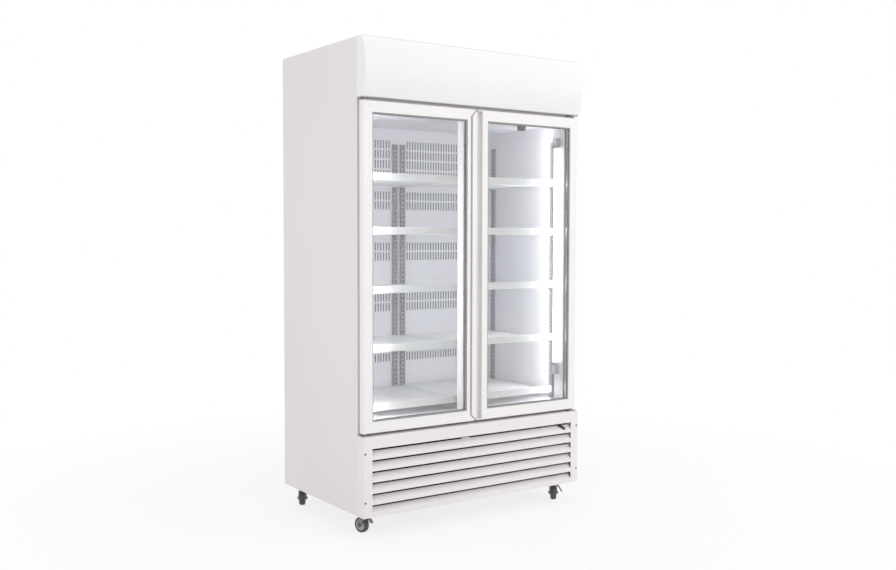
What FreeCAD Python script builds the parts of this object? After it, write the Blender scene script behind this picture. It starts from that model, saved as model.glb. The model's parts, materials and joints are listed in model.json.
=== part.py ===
import FreeCAD, Part
import os
import re

import Sketcher

# Two-door glass merchandiser: insulated cabinet on four swivel castors, bottom condensing unit behind
# a louvred grille, two hinged glass doors and a curved light box above them.
# Frame: origin under the middle of the cabinet on the floor, X across, Y to the rear, Z up.

doc = FreeCAD.newDocument("merchandiser")
sheet = doc.addObject("Spreadsheet::Sheet", "Dims")

driving = {
    # overall sizes
    "overall_width": 1120,
    "body_depth": 708,
    "body_height": 1895,
    "castor_height": 88,
    # front zone: grille, doors and light box stand in front of the cabinet body
    "front_zone": 50,
    "grille_height": 323.5,
    "canopy_height": 236,
    "canopy_end_setback": 12,
    "canopy_bulge": 29,
    "door_setback": 11,
    "door_thickness": 31,
    "door_gap_low": 10.5,
    "door_gap_high": 13,
    "door_side_gap": 6,
    "door_half_gap": 3,
    # walls
    "skin": 1.2,
    "wall": 50,
    "rear_wall": 41,
    "duct": 20,
    "liner": 1,
    "panel_sheet": 2,
    "floor_wall": 50,
    "flange": 20,
    "jamb_depth": 20,
    "post_depth": 50,
    "mullion_half": 43,
    "ceiling_drop": 279,
    # air slots in the duct cover and the ceiling panel
    "vent_top": 1649,
    "vent_block_pitch": 238,
    "vent_row_pitch": 46,
    "vent_height": 37,
    "vent_slot": 6,
    "vent_pitch": 15,
    "vent_start": 47,
    "vent_columns": 29,
    "return_rows": 3,
    "return_columns": 57,
    "return_start": 80,
    "floor_rise": 2.5,
    # door frames
    "stile_outer": 41,
    "stile_inner": 49,
    "rail_top": 45,
    "rail_low": 46,
    "door_round": 5,
    "glazing_lip": 5,
    "glazing_grip": 8,
    "pane": 4,
    "pane_gap": 12,
    "glass_play": 0.5,
    "spacer_width": 7,
    "gasket_width": 20,
    "gasket_thick": 7.5,
    "gasket_inset": 17,
    "gasket_mid_inset": 5,
    "gasket_end_inset": 8,
    "groove_width": 12,
    "groove_depth": 17,
    "lip_width": 22.4,
    "channel_width": 23,
    "channel_depth": 20,
    "channel_end": 6,
    "hook_depth": 5,
    "hook_cover": 6,
    "hook_end": 40,
    "groove_corner": 5,
    "groove_arm": 10,
    # hinges
    "hinge_inset": 15,
    "hinge_setback": 13,
    "pin_radius": 5,
    "pin_play": 0.05,
    "play": 0.5,
    "pin_reach": 26,
    "bracket_plate": 4,
    "bracket_width": 40,
    # shelves
    "slot_pitch": 20,
    "shelf_one": 47,
    "shelf_two": 36,
    "shelf_three": 24,
    "shelf_four": 12,
    "floor_shelf_rise": 27,
    "shelf_thick": 8,
    "shelf_sheet": 1.5,
    "shelf_edge": 2,
    "shelf_side_gap": 12,
    "shelf_mid_gap": 8,
    "shelf_front_gap": 12,
    "shelf_rear_gap": 18,
    "air_slot": 44,
    "air_slot_width": 6,
    "air_margin": 30,
    "air_pitch": 34,
    "strip_height": 30,
    "strip_thick": 2.5,
    "standard_width": 24.5,
    "standard_depth": 8.5,
    "standard_sheet": 1.5,
    "standard_low": 4,
    "standard_top": 1631,
    "standard_mid": 21,
    "standard_front": 74,
    "standard_rear": 75,
    "standard_slot": 14,
    "standard_slot_height": 5,
    "clip_width": 12,
    "clip_height": 14,
    "clip_reach": 14,
    "clip_sheet": 3,
    # lamps
    "lamp_radius": 10,
    "lamp_low": 615,
    "lamp_top": 1617,
    "holder_low": 37,
    "holder_top": 30,
    "lamp_wall_gap": 6,
    "lamp_setback": 37.5,
    "sign_lamp_setback": 40,
    "sign_lamp_half": 480,
    # light box
    "canopy_sheet": 1.5,
    "cheek": 3,
    "face_sheet": 3,
    "trim_height": 3,
    "trim_depth": 16,
    # grille
    "grille_sheet": 1.5,
    "slot_half": 521,
    "slot_height": 31,
    "slot_top": 275,
    "louvre_pitch": 45,
    "louvre_gap": 11,
    "louvre_recess": 18,
    "louvre_sheet": 1.5,
    "screw_radius": 4.5,
    "screw_side": 7,
    "screw_low": 62,
    "screw_high": 257.5,
    "screw_head": 1.5,
    # castors
    "castor_side": 63,
    "castor_front": 45,
    "castor_back": 55,
    "wheel_radius": 32,
    "wheel_width": 24,
    "trail": 22,
    "axle_radius": 4,
    "fork_gap": 2.5,
    "fork_sheet": 3,
    "swivel_radius": 24,
    "stem_radius": 9,
    "castor_plate": 4,
    "raceway": 4,
    "castor_plate_side": 56,
    "fork_disc": 8,
    "swivel_play": 0.3,
    "leg_tip": 9,
    "leg_inset": 4,
    "leg_shoulder": 4,
    "fork_overlap": 2,
    "tread_round": 4,
    "dish_radius": 22,
    "dish_depth": 3,
    "boss_radius": 9,
    "front_left_heading": 105,
    "front_right_heading": 235,
    "rear_left_heading": 235,
    "rear_right_heading": 90,
    "lever_width": 17.4,
    "lever_seat": 7,
    "lever_offset": 4,
    "lever_rise": 30,
    "ear_half": 4,
    "ear_play": 0.3,
    "barrel": 3.5,
    "release_out": 16,
    "release_up": 9.5,
    "pedal_out": 21,
    "pedal_down": 26,
    "pedal_edge": 4.5,
    "stub_radius": 1.95,
    # machinery
    "base_sheet": 3,
    "shell_radius": 92,
    "shell_height": 190,
    "shell_round": 30,
    "foot_rise": 14,
    "foot_radius": 8,
    "port_radius": 6,
    "port_length": 30,
    "compressor_x": 170,
    "compressor_y": 170,
    "condenser_left": 460,
    "condenser_right": 60,
    "condenser_gap": 12,
    "condenser_depth": 50,
    "condenser_height": 257,
    "condenser_fins": 20,
    "condenser_rows": 5,
    "evaporator_fins": 28,
    "evaporator_rows": 4,
    "fin": 1,
    "coil_tube": 5,
    "coil_stub": 8,
    "evaporator_half": 420,
    "evaporator_front": -60,
    "evaporator_depth": 120,
    "evaporator_gap": 20,
    "fan_radius": 100,
    "cold_fan_radius": 85,
    "cold_fan_side": 250,
    "fan_hub": 24,
    "fan_depth": 22,
    "fan_blade": 1.5,
    "fan_pitch": 62,
    "fan_gap": 6,
    "shaft": 4,
    "motor_radius": 28,
    "motor_length": 40,
    "motor_leg": 14,
    "pan_left": 290,
    "pan_right": 530,
    "pan_front": 60,
    "pan_back": 330,
    "pan_height": 45,
    "pan_wall": 2,
    "control_inner": 400,
    "control_gap": 8,
    "control_depth": 62,
    "control_low": 150,
    "control_high": 300,
    "rear_cover_inset": 10,
    "cover_slot": 120,
    "cover_slot_height": 8,
    "cover_pitch": 24,
    "cover_rows": 8,
    "cover_columns": 6,
    "gland_x": 480,
    "gland_rise": 52,
    "gland_radius": 9,
    "gland_nut": 14,
    "gland_bore": 5,
    "gland_reach": 6,
    # light switch behind the top louvre
    "switch_x": 456,
    "switch_angle": -42,
    "switch_length": 40,
    "switch_bar": 5.5,
    "switch_bar_gap": 3.5,
    "switch_thick": 1.5,
    "switch_lift": 2,
    "switch_above": 3.5,
    "switch_pin": 1.8,
    "switch_pin_length": 32,
}

derived = {
    "half_width": "overall_width / 2",
    "half_depth": "(body_depth + canopy_bulge - canopy_end_setback) / 2",
    "rear": "half_depth",
    "grille_front": "rear - body_depth",
    "body_front": "grille_front + front_zone",
    "base": "castor_height",
    "top": "base + body_height",
    "grille_top": "base + grille_height",
    "canopy_low": "top - canopy_height",
    "door_low": "grille_top + door_gap_low",
    "door_top": "canopy_low - door_gap_high",
    "door_outer": "half_width - door_side_gap",
    "door_front": "grille_front + door_setback",
    "door_back": "door_front + door_thickness",
    "hinge_x": "door_outer - hinge_inset",
    "hinge_y": "door_front + hinge_setback",
    "inner_half": "half_width - wall",
    "floor_low": "grille_top + floor_rise",
    "floor_top": "floor_low + floor_wall",
    "ceiling": "top - ceiling_drop",
    "cold_top": "top - wall",
    "rear_inner": "rear - rear_wall",
    "vent_front": "rear_inner - duct - panel_sheet",
    "post_back": "body_front + post_depth",
    "opening_low": "door_low + rail_low",
    "opening_top": "door_top - rail_top",
    "opening_in": "door_half_gap + stile_inner",
    "opening_out": "door_outer - stile_outer",
    "shelf_front": "post_back + shelf_front_gap",
    "shelf_back": "vent_front - shelf_rear_gap",
    "shelf_base": "floor_top + floor_shelf_rise",
    "canopy_mid": "canopy_low + canopy_height / 2",
    "canopy_radius": "(canopy_height * canopy_height / 4 + canopy_bulge * canopy_bulge) / (2 * canopy_bulge)",
    "canopy_front": "grille_front + canopy_end_setback - canopy_bulge",
    "canopy_end": "grille_front + canopy_end_setback",
    "fork_half": "wheel_width / 2 + fork_gap",
}


def bind(text):
    """Turn alias words into references to the sheet."""
    return re.sub(r"[a-z][a-z_]*", lambda word: "Dims." + word.group(0), str(text))


def fill_sheet():
    row = 1
    for alias, value in driving.items():
        sheet.set(f"A{row}", alias)
        sheet.set(f"B{row}", str(value))
        sheet.setAlias(f"B{row}", alias)
        row += 1
    for alias, rule in derived.items():
        sheet.set(f"A{row}", alias)
        sheet.set(f"B{row}", "=" + rule)
        sheet.setAlias(f"B{row}", alias)
        row += 1
    doc.recompute()


fill_sheet()
size = {alias: float(sheet.get(alias)) for alias in list(driving) + list(derived)}
nodes = []


def name(obj, label):
    """Give a finished sub-part its label and list it for export."""
    obj.Label = label
    nodes.append(obj)
    return obj


def put(obj, x, y, z):
    """Bind an object's position to the sheet."""
    for letter, text in zip("xyz", (x, y, z)):
        obj.setExpression(f"Placement.Base.{letter}", bind(text))


def block(x, y, z):
    """A box between two bounds on each axis."""
    box = doc.addObject("Part::Box", "Block")
    for prop, (low, high) in zip(("Length", "Width", "Height"), (x, y, z)):
        box.setExpression(prop, f"({bind(high)}) - ({bind(low)})")
    put(box, x[0], y[0], z[0])
    return box


def rod(radius, length, at, axis="Z"):
    """A cylinder from a point along +X, +Y or +Z."""
    cylinder = doc.addObject("Part::Cylinder", "Rod")
    cylinder.setExpression("Radius", bind(radius))
    cylinder.setExpression("Height", bind(length))
    turns = {"X": FreeCAD.Rotation(0, 90, 0), "Y": FreeCAD.Rotation(0, 0, -90), "Z": FreeCAD.Rotation()}
    cylinder.Placement = FreeCAD.Placement(FreeCAD.Vector(), turns[axis])
    put(cylinder, *at)
    return cylinder


def cut(base, *tools):
    """Take tools away from a base, one after another."""
    for tool in tools:
        result = doc.addObject("Part::Cut", "Cut")
        result.Base = base
        result.Tool = tool
        base = result
    return base


def join(*shapes):
    """One solid out of touching shapes."""
    result = doc.addObject("Part::MultiFuse", "Join")
    result.Shapes = list(shapes)
    result.Refine = True
    return result


def overlap(one, other):
    result = doc.addObject("Part::Common", "Overlap")
    result.Base = one
    result.Tool = other
    return result


def group(*shapes):
    """Separate solids that share one node."""
    result = doc.addObject("Part::Compound", "Group")
    result.Links = list(shapes)
    return result


def rounded(base, radius, chosen):
    """Round the edges that the test picks."""
    doc.recompute([base])
    result = doc.addObject("Part::Fillet", "Rounded")
    result.Base = base
    picked = [n for n, edge in enumerate(base.Shape.Edges, 1) if chosen(edge)]
    result.Edges = [(n, size[radius], size[radius]) for n in picked]
    return result


def made(shape, label="Made"):
    """A sub-part whose shape comes straight from geometry calls."""
    feature = doc.addObject("Part::Feature", label)
    feature.Shape = shape
    return feature


def number(text):
    """The present value of a rule."""
    sheet.set("D1", f"={text}")
    doc.recompute([sheet])
    return float(sheet.get("D1"))


def outline_body(points, plane="XY_Plane"):
    """A body holding one closed sketch whose corners are bound to the sheet."""
    body = doc.addObject("PartDesign::Body", "Body")
    sketch = body.newObject("Sketcher::SketchObject", "Outline")
    origin_plane = next(item for item in body.Origin.OriginFeatures if item.Role == plane)
    sketch.AttachmentSupport = [(origin_plane, "")]
    sketch.MapMode = "FlatFace"
    values = [FreeCAD.Vector(number(x), number(y), 0) for x, y in points]
    count = len(points)
    for n in range(count):
        sketch.addGeometry(Part.LineSegment(values[n], values[(n + 1) % count]), False)
    for n in range(count):
        sketch.addConstraint(Sketcher.Constraint("Coincident", n, 2, (n + 1) % count, 1))
    for n, (x, y) in enumerate(points):
        for kind, text, value in (("DistanceX", x, values[n].x), ("DistanceY", y, values[n].y)):
            row = sketch.addConstraint(Sketcher.Constraint(kind, -1, 1, n, 1, value))
            sketch.setExpression(f"Constraints[{row}]", bind(text))
    return body, sketch


def padded(points, plane, length, symmetric=False):
    """A pad of a bound outline."""
    body, sketch = outline_body(points, plane)
    pad = body.newObject("PartDesign::Pad", "Pad")
    pad.Profile = sketch
    pad.setExpression("Length", bind(length))
    pad.Midplane = symmetric
    return body


def flip(span):
    """The same span on the other side of the middle plane."""
    low, high = span
    return f"-({high})", f"-({low})"


def sided(side, span):
    """A span given for the right-hand side, on the side asked for."""
    return span if side == "right" else flip(span)


def centred(half):
    return f"-({half})", half


inner_width = centred("inner_half")
to_rear = ("body_front", "rear")
deck = "base + base_sheet"
deck_height = ("base", deck)

# ---- cabinet shell


def make_side_panel(side):
    height = ("base", "top - skin")
    face = block(sided(side, ("half_width - skin", "half_width")), to_rear, height)
    folded = sided(side, ("half_width - flange", "half_width - skin"))
    front = block(folded, ("body_front", "body_front + skin"), height)
    back = block(folded, ("rear - skin", "rear"), height)
    name(join(face, front, back), f"{side}_side_panel")


def make_shell():
    for side in ("left", "right"):
        make_side_panel(side)
    between = centred("half_width - flange")
    name(block(between, ("rear - skin", "rear"), ("floor_low", "top - skin")), "back_panel")
    name(block(centred("half_width"), to_rear, ("top - skin", "top")), "top_panel")
    name(block(centred("half_width - skin"), ("body_front + skin", "rear - skin"), deck_height), "base_plate")


def make_insulation():
    tall = ("floor_low", "top - skin")
    beside = ("inner_half + liner", "half_width - skin")
    behind_jamb = ("body_front + jamb_depth", "rear - skin")
    across = centred("inner_half + liner")
    behind_post = ("post_back", "rear_inner + liner")
    slabs = [block(sided(side, beside), behind_jamb, tall) for side in ("left", "right")]
    slabs.append(block(across, ("rear_inner + liner", "rear - skin"), tall))
    slabs.append(block(inner_width, behind_post, ("floor_low", "floor_top - liner")))
    slabs.append(block(inner_width, behind_post, ("cold_top + liner", "top - skin")))
    name(group(*slabs), "insulation")


def make_liner():
    tall = ("floor_top", "cold_top")
    behind_post = ("post_back", "rear_inner + liner")
    beside = ("inner_half", "inner_half + liner")
    sheets = [block(sided(side, beside), ("body_front + jamb_depth", "rear_inner + liner"),
                    ("floor_low", "top - skin")) for side in ("left", "right")]
    sheets.append(block(inner_width, ("rear_inner", "rear_inner + liner"), tall))
    sheets.append(block(inner_width, behind_post, ("floor_top - liner", "floor_top")))
    sheets.append(block(inner_width, behind_post, ("cold_top", "cold_top + liner")))
    name(group(*sheets), "inner_liner")


def make_front_frame():
    deep = ("body_front", "post_back")
    jamb = ("inner_half", "half_width - flange")
    jamb_span = ("body_front", "body_front + jamb_depth")
    bars = [block(sided(side, jamb), jamb_span, ("floor_low", "top - skin")) for side in ("left", "right")]
    bars.append(block(inner_width, deep, ("ceiling", "top - skin")))
    bars.append(block(inner_width, deep, ("floor_low", "floor_top")))
    name(group(*bars), "front_frame")
    name(block(centred("mullion_half"), deep, ("floor_top", "ceiling")), "mullion")


def slotted_sheet(width, depth, thickness, slots):
    """A flat sheet from the origin corner, with rectangular slots given as (x, y, length, width)."""
    def corners(x, y, wide, high):
        loop = ((x, y), (x + wide, y), (x + wide, y + high), (x, y + high), (x, y))
        return [FreeCAD.Vector(a, b, 0) for a, b in loop]
    rim = Part.makePolygon(corners(0, 0, width, depth))
    holes = [Part.makePolygon(corners(*slot)[::-1]) for slot in slots]
    return Part.Face([rim] + holes).extrude(FreeCAD.Vector(0, 0, thickness))


def make_vent_panel():
    """Air duct cover with a block of slot rows behind each shelf bay."""
    half = size["inner_half"]
    low = size["floor_top"]
    rows = []
    for block_number, row_count in enumerate((4, 2, 2, 2, 2)):
        first = size["vent_top"] - block_number * size["vent_block_pitch"]
        rows += [first - n * size["vent_row_pitch"] for n in range(row_count)]
    slots = []
    for row_top in rows:
        for column in range(int(size["vent_columns"])):
            offset = size["vent_start"] + column * size["vent_pitch"]
            z = row_top - size["vent_height"] - low
            for x in (offset, -offset - size["vent_slot"]):
                slots.append((x + half, z, size["vent_slot"], size["vent_height"]))
    sheet_shape = slotted_sheet(2 * half, size["ceiling"] - low, size["panel_sheet"], slots)
    sheet_shape.rotate(FreeCAD.Vector(), FreeCAD.Vector(1, 0, 0), 90)
    panel = made(sheet_shape)
    panel.Placement = FreeCAD.Placement(
        FreeCAD.Vector(-half, size["vent_front"] + size["panel_sheet"], low), sheet_shape.Placement.Rotation)
    name(panel, "vent_panel")


def make_ceiling_panel():
    """Cover under the evaporator, with return slots near the front."""
    half = size["inner_half"]
    front = size["post_back"]
    depth = size["vent_front"] + size["panel_sheet"] - front
    slots = []
    columns = int(size["return_columns"])
    for row in range(int(size["return_rows"])):
        for column in range(columns):
            x = half + (column - (columns - 1) / 2) * size["vent_pitch"] - size["vent_slot"] / 2
            y = size["return_start"] + row * size["vent_row_pitch"]
            slots.append((x, y, size["vent_slot"], size["vent_height"]))
    panel = made(slotted_sheet(2 * half, depth, size["panel_sheet"], slots))
    panel.Placement.Base = FreeCAD.Vector(-half, front, size["ceiling"])
    name(panel, "ceiling_panel")


def make_standard(facing):
    """Slotted channel, web towards the shelf side; local X across, local Y into the wall."""
    width, depth, wall = size["standard_width"], size["standard_depth"], size["standard_sheet"]
    low = size["floor_top"] + size["standard_low"]
    tall = size["standard_top"] - low
    channel = Part.makeBox(width, depth, tall, FreeCAD.Vector(-width / 2, 0, low))
    hollow = Part.makeBox(width - 2 * wall, depth, tall, FreeCAD.Vector(wall - width / 2, wall, low))
    pitch = size["slot_pitch"]
    slot_width, slot_height = size["standard_slot"], size["standard_slot_height"]
    count = int((tall - pitch) / pitch)
    slots = []
    for n in range(count):
        corner = FreeCAD.Vector(-slot_width / 2, -wall, low + pitch * (n + 0.5))
        slots.append(Part.makeBox(slot_width, 3 * wall, slot_height, corner))
    shape = channel.cut(hollow).cut(Part.makeCompound(slots))
    shape.rotate(FreeCAD.Vector(), FreeCAD.Vector(0, 0, 1), facing)
    return shape


def standard_places():
    """(x, y, turn) of each standard's shelf-side face."""
    depth = size["standard_depth"]
    wall_x = size["inner_half"] - depth
    front_y = size["post_back"] + size["standard_front"] - size["post_depth"]
    rear_y = size["vent_front"] - size["standard_rear"]
    places = []
    for sign in (-1, 1):
        places.append((sign * size["standard_mid"], size["vent_front"] - depth, 0))
        places.append((sign * size["standard_mid"], size["post_back"] + depth, 180))
        for y in (front_y, rear_y):
            places.append((sign * wall_x, y, -90 * sign))
    return places


def make_standards():
    shapes = []
    for x, y, turn in standard_places():
        shape = make_standard(turn)
        shape.translate(FreeCAD.Vector(x, y, 0))
        shapes.append(shape)
    name(made(Part.makeCompound(shapes)), "shelf_standards")


# ---- shelves

levels = {"floor_shelves": "0", "shelf_level_4": "shelf_four", "shelf_level_3": "shelf_three",
          "shelf_level_2": "shelf_two", "shelf_level_1": "shelf_one"}
shelf_span = ("shelf_mid_gap", "inner_half - shelf_side_gap")


def shelf_height(label):
    return f"shelf_base + {levels[label]} * slot_pitch"


def shelf_sheet():
    """Pressed sheet shelf with air slots and a folded rim, underside on Z = 0."""
    width = size["inner_half"] - size["shelf_side_gap"] - size["shelf_mid_gap"]
    depth = size["shelf_back"] - size["shelf_front"]
    thin, thick, edge = size["shelf_sheet"], size["shelf_thick"], size["shelf_edge"]
    slot, gap, margin = size["air_slot"], size["air_slot_width"], size["air_margin"]
    across = int((width - 2 * margin + margin / 2) // (slot + margin / 2))
    deep = int((depth - 2 * margin) // size["air_pitch"]) + 1
    start_x = (width - across * slot - (across - 1) * margin / 2) / 2
    start_y = (depth - (deep - 1) * size["air_pitch"] - gap) / 2
    slots = [(start_x + n * (slot + margin / 2), start_y + k * size["air_pitch"], slot, gap)
             for n in range(across) for k in range(deep)]
    deck = slotted_sheet(width, depth, thin, slots)
    deck.translate(FreeCAD.Vector(0, 0, thick - thin))
    rim = Part.makeBox(width, depth, thick).cut(
        Part.makeBox(width - 2 * edge, depth - 2 * edge, thick, FreeCAD.Vector(edge, edge, 0)))
    return deck.fuse(rim).removeSplitter()


def make_shelves():
    pattern = shelf_sheet()
    width = size["inner_half"] - size["shelf_side_gap"] - size["shelf_mid_gap"]
    for label in levels:
        pair = []
        for x in (size["shelf_mid_gap"], -size["shelf_mid_gap"] - width):
            shelf = made(pattern.copy(), "Shelf")
            put(shelf, x, "shelf_front", shelf_height(label))
            pair.append(shelf)
        name(group(*pair), label)


def make_ticket_strips():
    strips = []
    for label in levels:
        height = shelf_height(label)
        for side in ("left", "right"):
            strips.append(block(sided(side, shelf_span), ("shelf_front - strip_thick", "shelf_front"),
                                (height, f"{height} + strip_height")))
    name(group(*strips), "ticket_strips")


def make_clips():
    """Gusset clips hooked on the standards, one under each shelf corner."""
    reach, width, high = size["clip_reach"], size["clip_width"], size["clip_height"]
    thick = size["clip_sheet"]
    corners = [(0, 0), (reach, 0), (reach, -thick), (thick, -high), (0, -high), (0, 0)]
    gusset = Part.Face(Part.makePolygon([FreeCAD.Vector(0, -y, z) for y, z in corners]))
    clip = gusset.extrude(FreeCAD.Vector(width, 0, 0))
    clip.translate(FreeCAD.Vector(-width / 2, 0, 0))
    clips = []
    for label in levels:
        for x, y, turn in standard_places():
            shape = clip.copy()
            shape.rotate(FreeCAD.Vector(), FreeCAD.Vector(0, 0, 1), turn)
            shape.translate(FreeCAD.Vector(x, y, number(shelf_height(label))))
            clips.append(shape)
    name(made(Part.makeCompound(clips)), "shelf_clips")


# ---- lamps and light box


def make_lamps():
    tubes = []
    holders = []
    lamp_x = "inner_half - lamp_wall_gap - lamp_radius"
    lamp_y = "body_front + lamp_setback"
    holder_x = ("inner_half - lamp_wall_gap - 2 * lamp_radius", "inner_half")
    holder_y = (f"{lamp_y} - lamp_radius", f"{lamp_y} + lamp_radius")
    for side in ("left", "right"):
        x = lamp_x if side == "right" else f"-({lamp_x})"
        tubes.append(rod("lamp_radius", "lamp_top - lamp_low", (x, lamp_y, "lamp_low")))
        for height in (("lamp_low - holder_low", "lamp_low"), ("lamp_top", "lamp_top + holder_top")):
            holders.append(block(sided(side, holder_x), holder_y, height))
    sign_y = "canopy_front + sign_lamp_setback"
    tubes.append(rod("lamp_radius", "2 * sign_lamp_half", ("-sign_lamp_half", sign_y, "canopy_mid"), "X"))
    for side in ("left", "right"):
        holders.append(block(sided(side, ("sign_lamp_half", "sign_lamp_half + 2 * lamp_radius")),
                             (f"{sign_y} - lamp_radius", "body_front - canopy_sheet"),
                             ("canopy_mid - lamp_radius", "canopy_mid + lamp_radius")))
    name(group(*tubes), "lamp_tubes")
    name(group(*holders), "lamp_holders")


def arc_drum(radius, low, high):
    """Cylinder along X whose front side is the light box's curve."""
    return rod(radius, f"{high} - ({low})", (low, "canopy_front + canopy_radius", "canopy_mid"), "X")


def make_canopy():
    wide = centred("half_width - cheek")
    deep = ("canopy_end + trim_depth", "body_front - canopy_sheet")
    back = block(wide, ("body_front - canopy_sheet", "body_front"), ("canopy_low", "top"))
    roof = block(wide, deep, ("top - canopy_sheet", "top"))
    floor = block(wide, deep, ("canopy_low", "canopy_low + canopy_sheet"))
    name(join(back, roof, floor), "canopy_box")
    cheeks = []
    for side in ("left", "right"):
        span = sided(side, ("half_width - cheek", "half_width"))
        slab = block(span, ("canopy_front", "body_front"), ("canopy_low", "top"))
        cheeks.append(overlap(slab, arc_drum("canopy_radius", *span)))
    name(group(*cheeks), "canopy_cheeks")
    curve = cut(arc_drum("canopy_radius", *wide), arc_drum("canopy_radius - face_sheet", *wide))
    window = block(wide, ("canopy_front", "canopy_end + canopy_bulge"),
                   ("canopy_low + trim_height", "top - trim_height"))
    name(overlap(curve, window), "canopy_face")
    trims = []
    for height in (("canopy_low", "canopy_low + trim_height"), ("top - trim_height", "top")):
        bar = block(wide, ("canopy_front", "canopy_end + trim_depth"), height)
        trims.append(overlap(bar, arc_drum("canopy_radius", *wide)))
    name(group(*trims), "canopy_trim")


# ---- base grille


def slot_tops():
    return [f"base + slot_top - {n} * louvre_pitch" for n in range(6)]


def make_grille():
    sheet_y = ("grille_front", "grille_front + grille_sheet")
    front = block(centred("half_width"), sheet_y, ("base", "grille_top"))
    windows = [block(centred("slot_half"), sheet_y, (f"{high} - slot_height", high)) for high in slot_tops()]
    behind = ("grille_front + grille_sheet", "body_front")
    cheeks = [block(sided(side, ("half_width - grille_sheet", "half_width")), behind, ("base", "grille_top"))
              for side in ("left", "right")]
    inside = centred("half_width - grille_sheet")
    lips = [block(inside, behind, ("grille_top - grille_sheet", "grille_top")),
            block(inside, behind, ("base", "base + grille_sheet"))]
    name(join(cut(front, *windows), *cheeks, *lips), "grille_frame")
    blades = []
    for high in slot_tops():
        low = f"{high} - slot_height"
        tip = f"{high} - louvre_gap"
        tip_y = "grille_front + louvre_recess"
        profile = [("grille_front", low), ("grille_front + louvre_sheet", low),
                   (f"{tip_y} + louvre_sheet", tip), (tip_y, tip)]
        blades.append(padded(profile, "YZ_Plane", "2 * slot_half", symmetric=True))
    name(group(*blades), "grille_louvres")
    heads = []
    for x in ("half_width - screw_side", "-(half_width - screw_side)"):
        for z in ("base + screw_low", "base + screw_high"):
            heads.append(rod("screw_radius", "screw_head", (x, "grille_front - screw_head", z), "Y"))
    name(group(*heads), "screws")


# ---- doors


def pull_groove():
    """Full-height finger groove whose ends run out at 45 degrees to the door's corners."""
    near = "-(door_half_gap + lip_width)"
    far = "-(door_half_gap + lip_width + groove_width)"
    corner = "lip_width + groove_width - groove_corner"
    inner = "lip_width - groove_corner + groove_arm"
    out = "-door_half_gap + groove_corner"
    outline = [(far, f"door_low + {corner}"), (far, f"door_top - ({corner})"),
               (out, "door_top + 2 * groove_corner"), (out, "door_top + 2 * groove_corner - groove_arm"),
               (near, f"door_top - ({inner})"), (near, f"door_low + {inner}"),
               (out, "door_low - 2 * groove_corner + groove_arm"), (out, "door_low - 2 * groove_corner")]
    tool = padded(outline, "XZ_Plane", "groove_depth")
    put(tool, 0, "door_front + groove_depth", 0)
    hook = block((near, f"{near} + hook_depth"), ("door_front + hook_cover", "door_front + groove_depth"),
                 ("door_low + hook_end", "door_top - hook_end"))
    return [tool, hook]


def pull_channel():
    """Full-height finger channel along the meeting edge, with a hooked wall."""
    wall = "door_half_gap + channel_width"
    height = ("door_low + channel_end", "door_top - channel_end")
    channel = block(("0", wall), ("door_front", "door_front + channel_depth"), height)
    hook_y = ("door_front + hook_cover", "door_front + channel_depth")
    return [channel, block((wall, f"{wall} + hook_depth"), hook_y, height)]


def make_door(side):
    slab_x = sided(side, ("door_half_gap", "door_outer"))
    slab = block(slab_x, ("door_front", "door_back"), ("door_low", "door_top"))
    front = size["door_front"]
    soft = rounded(slab, "door_round", lambda edge: all(abs(v.Y - front) < 0.01 for v in edge.Vertexes))
    opening = block(sided(side, ("opening_in", "opening_out")), ("door_front", "door_back"),
                    ("opening_low", "opening_top"))
    unit = ("door_front + glazing_lip", "door_front + glazing_lip + 2 * pane + pane_gap")
    slot = block(sided(side, ("opening_in - glazing_grip", "opening_out + glazing_grip")), unit,
                 ("opening_low - glazing_grip", "opening_top + glazing_grip"))
    hinge_x = "hinge_x" if side == "right" else "-hinge_x"
    bores = [rod("pin_radius + pin_play", "pin_reach + 1", (hinge_x, "hinge_y", z))
             for z in ("door_low", "door_top - pin_reach - 1")]
    pulls = pull_channel() if side == "right" else pull_groove()
    name(cut(soft, opening, slot, *bores, *pulls), f"{side}_door_frame")

    held = "glazing_grip - glass_play"
    wide = sided(side, (f"opening_in - ({held})", f"opening_out + {held}"))
    tall = (f"opening_low - ({held})", f"opening_top + {held}")
    near = "door_front + glazing_lip"
    front_pane = block(wide, (near, f"{near} + pane"), tall)
    rear_pane = block(wide, (f"{near} + pane + pane_gap", f"{near} + 2 * pane + pane_gap"), tall)
    name(group(front_pane, rear_pane), f"{side}_glass")
    between = (f"{near} + pane", f"{near} + pane + pane_gap")
    ring = block(wide, between, tall)
    sight = block(sided(side, ("opening_in + spacer_width", "opening_out - spacer_width")), between,
                  ("opening_low + spacer_width", "opening_top - spacer_width"))
    name(cut(ring, sight), f"{side}_glass_spacer")

    seal = ("door_back", "door_back + gasket_thick")
    outer = ("door_half_gap + gasket_mid_inset", "door_outer - gasket_inset")
    inner = tuple(f"{edge} {sign} gasket_width" for edge, sign in zip(outer, "+-"))
    height = ("door_low + gasket_end_inset", "door_top - gasket_end_inset")
    hollow = tuple(f"{edge} {sign} gasket_width" for edge, sign in zip(height, "+-"))
    rim = block(sided(side, outer), seal, height)
    name(cut(rim, block(sided(side, inner), seal, hollow)), f"{side}_gasket")


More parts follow.
